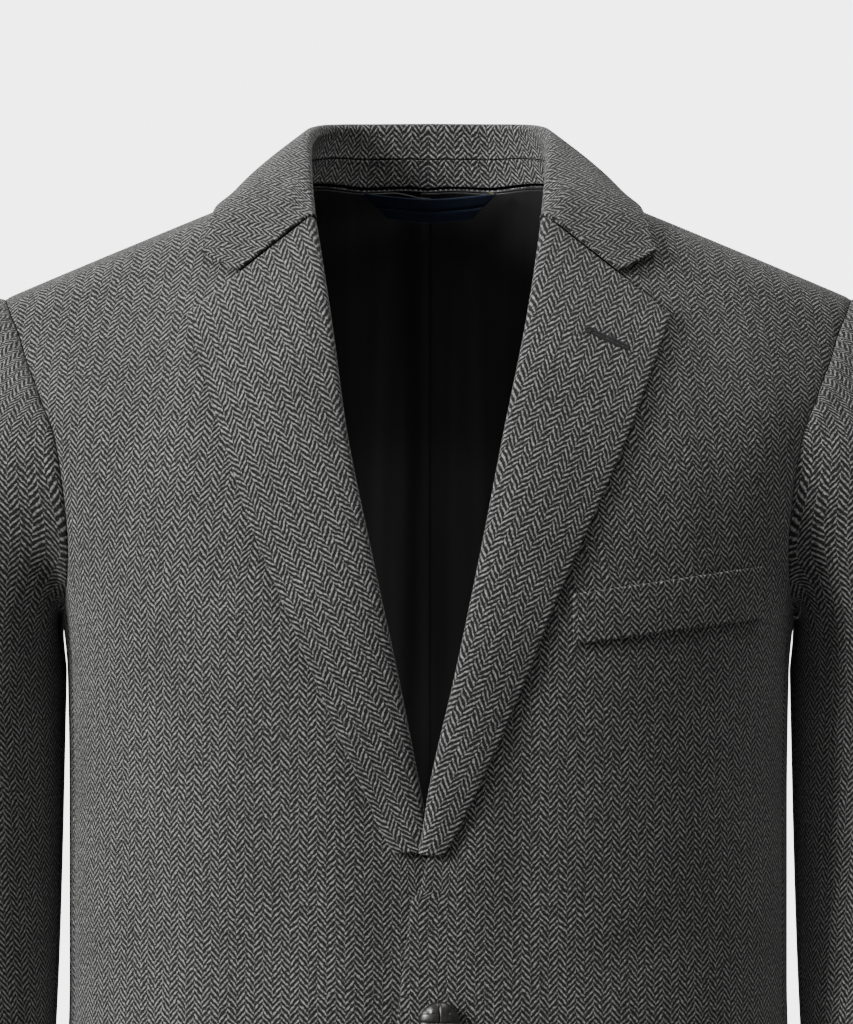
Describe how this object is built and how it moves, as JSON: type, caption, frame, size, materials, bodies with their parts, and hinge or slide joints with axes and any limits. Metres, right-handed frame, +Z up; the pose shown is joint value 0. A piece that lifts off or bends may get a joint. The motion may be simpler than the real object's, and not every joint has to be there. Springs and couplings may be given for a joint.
{
  "type": "tweed hacking jacket",
  "caption": "Single-breasted herringbone tweed jacket with notched lapels, closed at the front, standing as if worn and open at neck, hem and cuffs.",
  "frame": {"origin": "centre of the neck base, level with the neck ends of the shoulder seams, where the wearer's shoulders and neck hold the jacket", "axes": "+Z up, +X towards the wearer's left, the chest faces -Y"},
  "size_m": [0.6448, 0.2818, 0.7876],
  "materials": {
    "tweed": "matt woollen herringbone, grey with pale flecks",
    "lining_satin": "near-black satin",
    "label_weave": "navy woven tape, bare",
    "button_leather": "glossy plaited dark leather"
  },
  "bodies": {
    "root": {"front_left": "tweed", "side_left": "tweed", "back_left": "tweed", "top_sleeve_left": "tweed", "under_sleeve_left": "tweed", "lapel_left": "tweed", "lining_back_left": "lining_satin", "front_right": "tweed", "side_right": "tweed", "back_right": "tweed", "top_sleeve_right": "tweed", "under_sleeve_right": "tweed", "lapel_right": "tweed", "lining_back_right": "lining_satin", "collar": "tweed", "collar_stand": "tweed", "breast_welt": "tweed", "label": "label_weave", "button_front": "button_leather"}
  },
  "joints": []
}
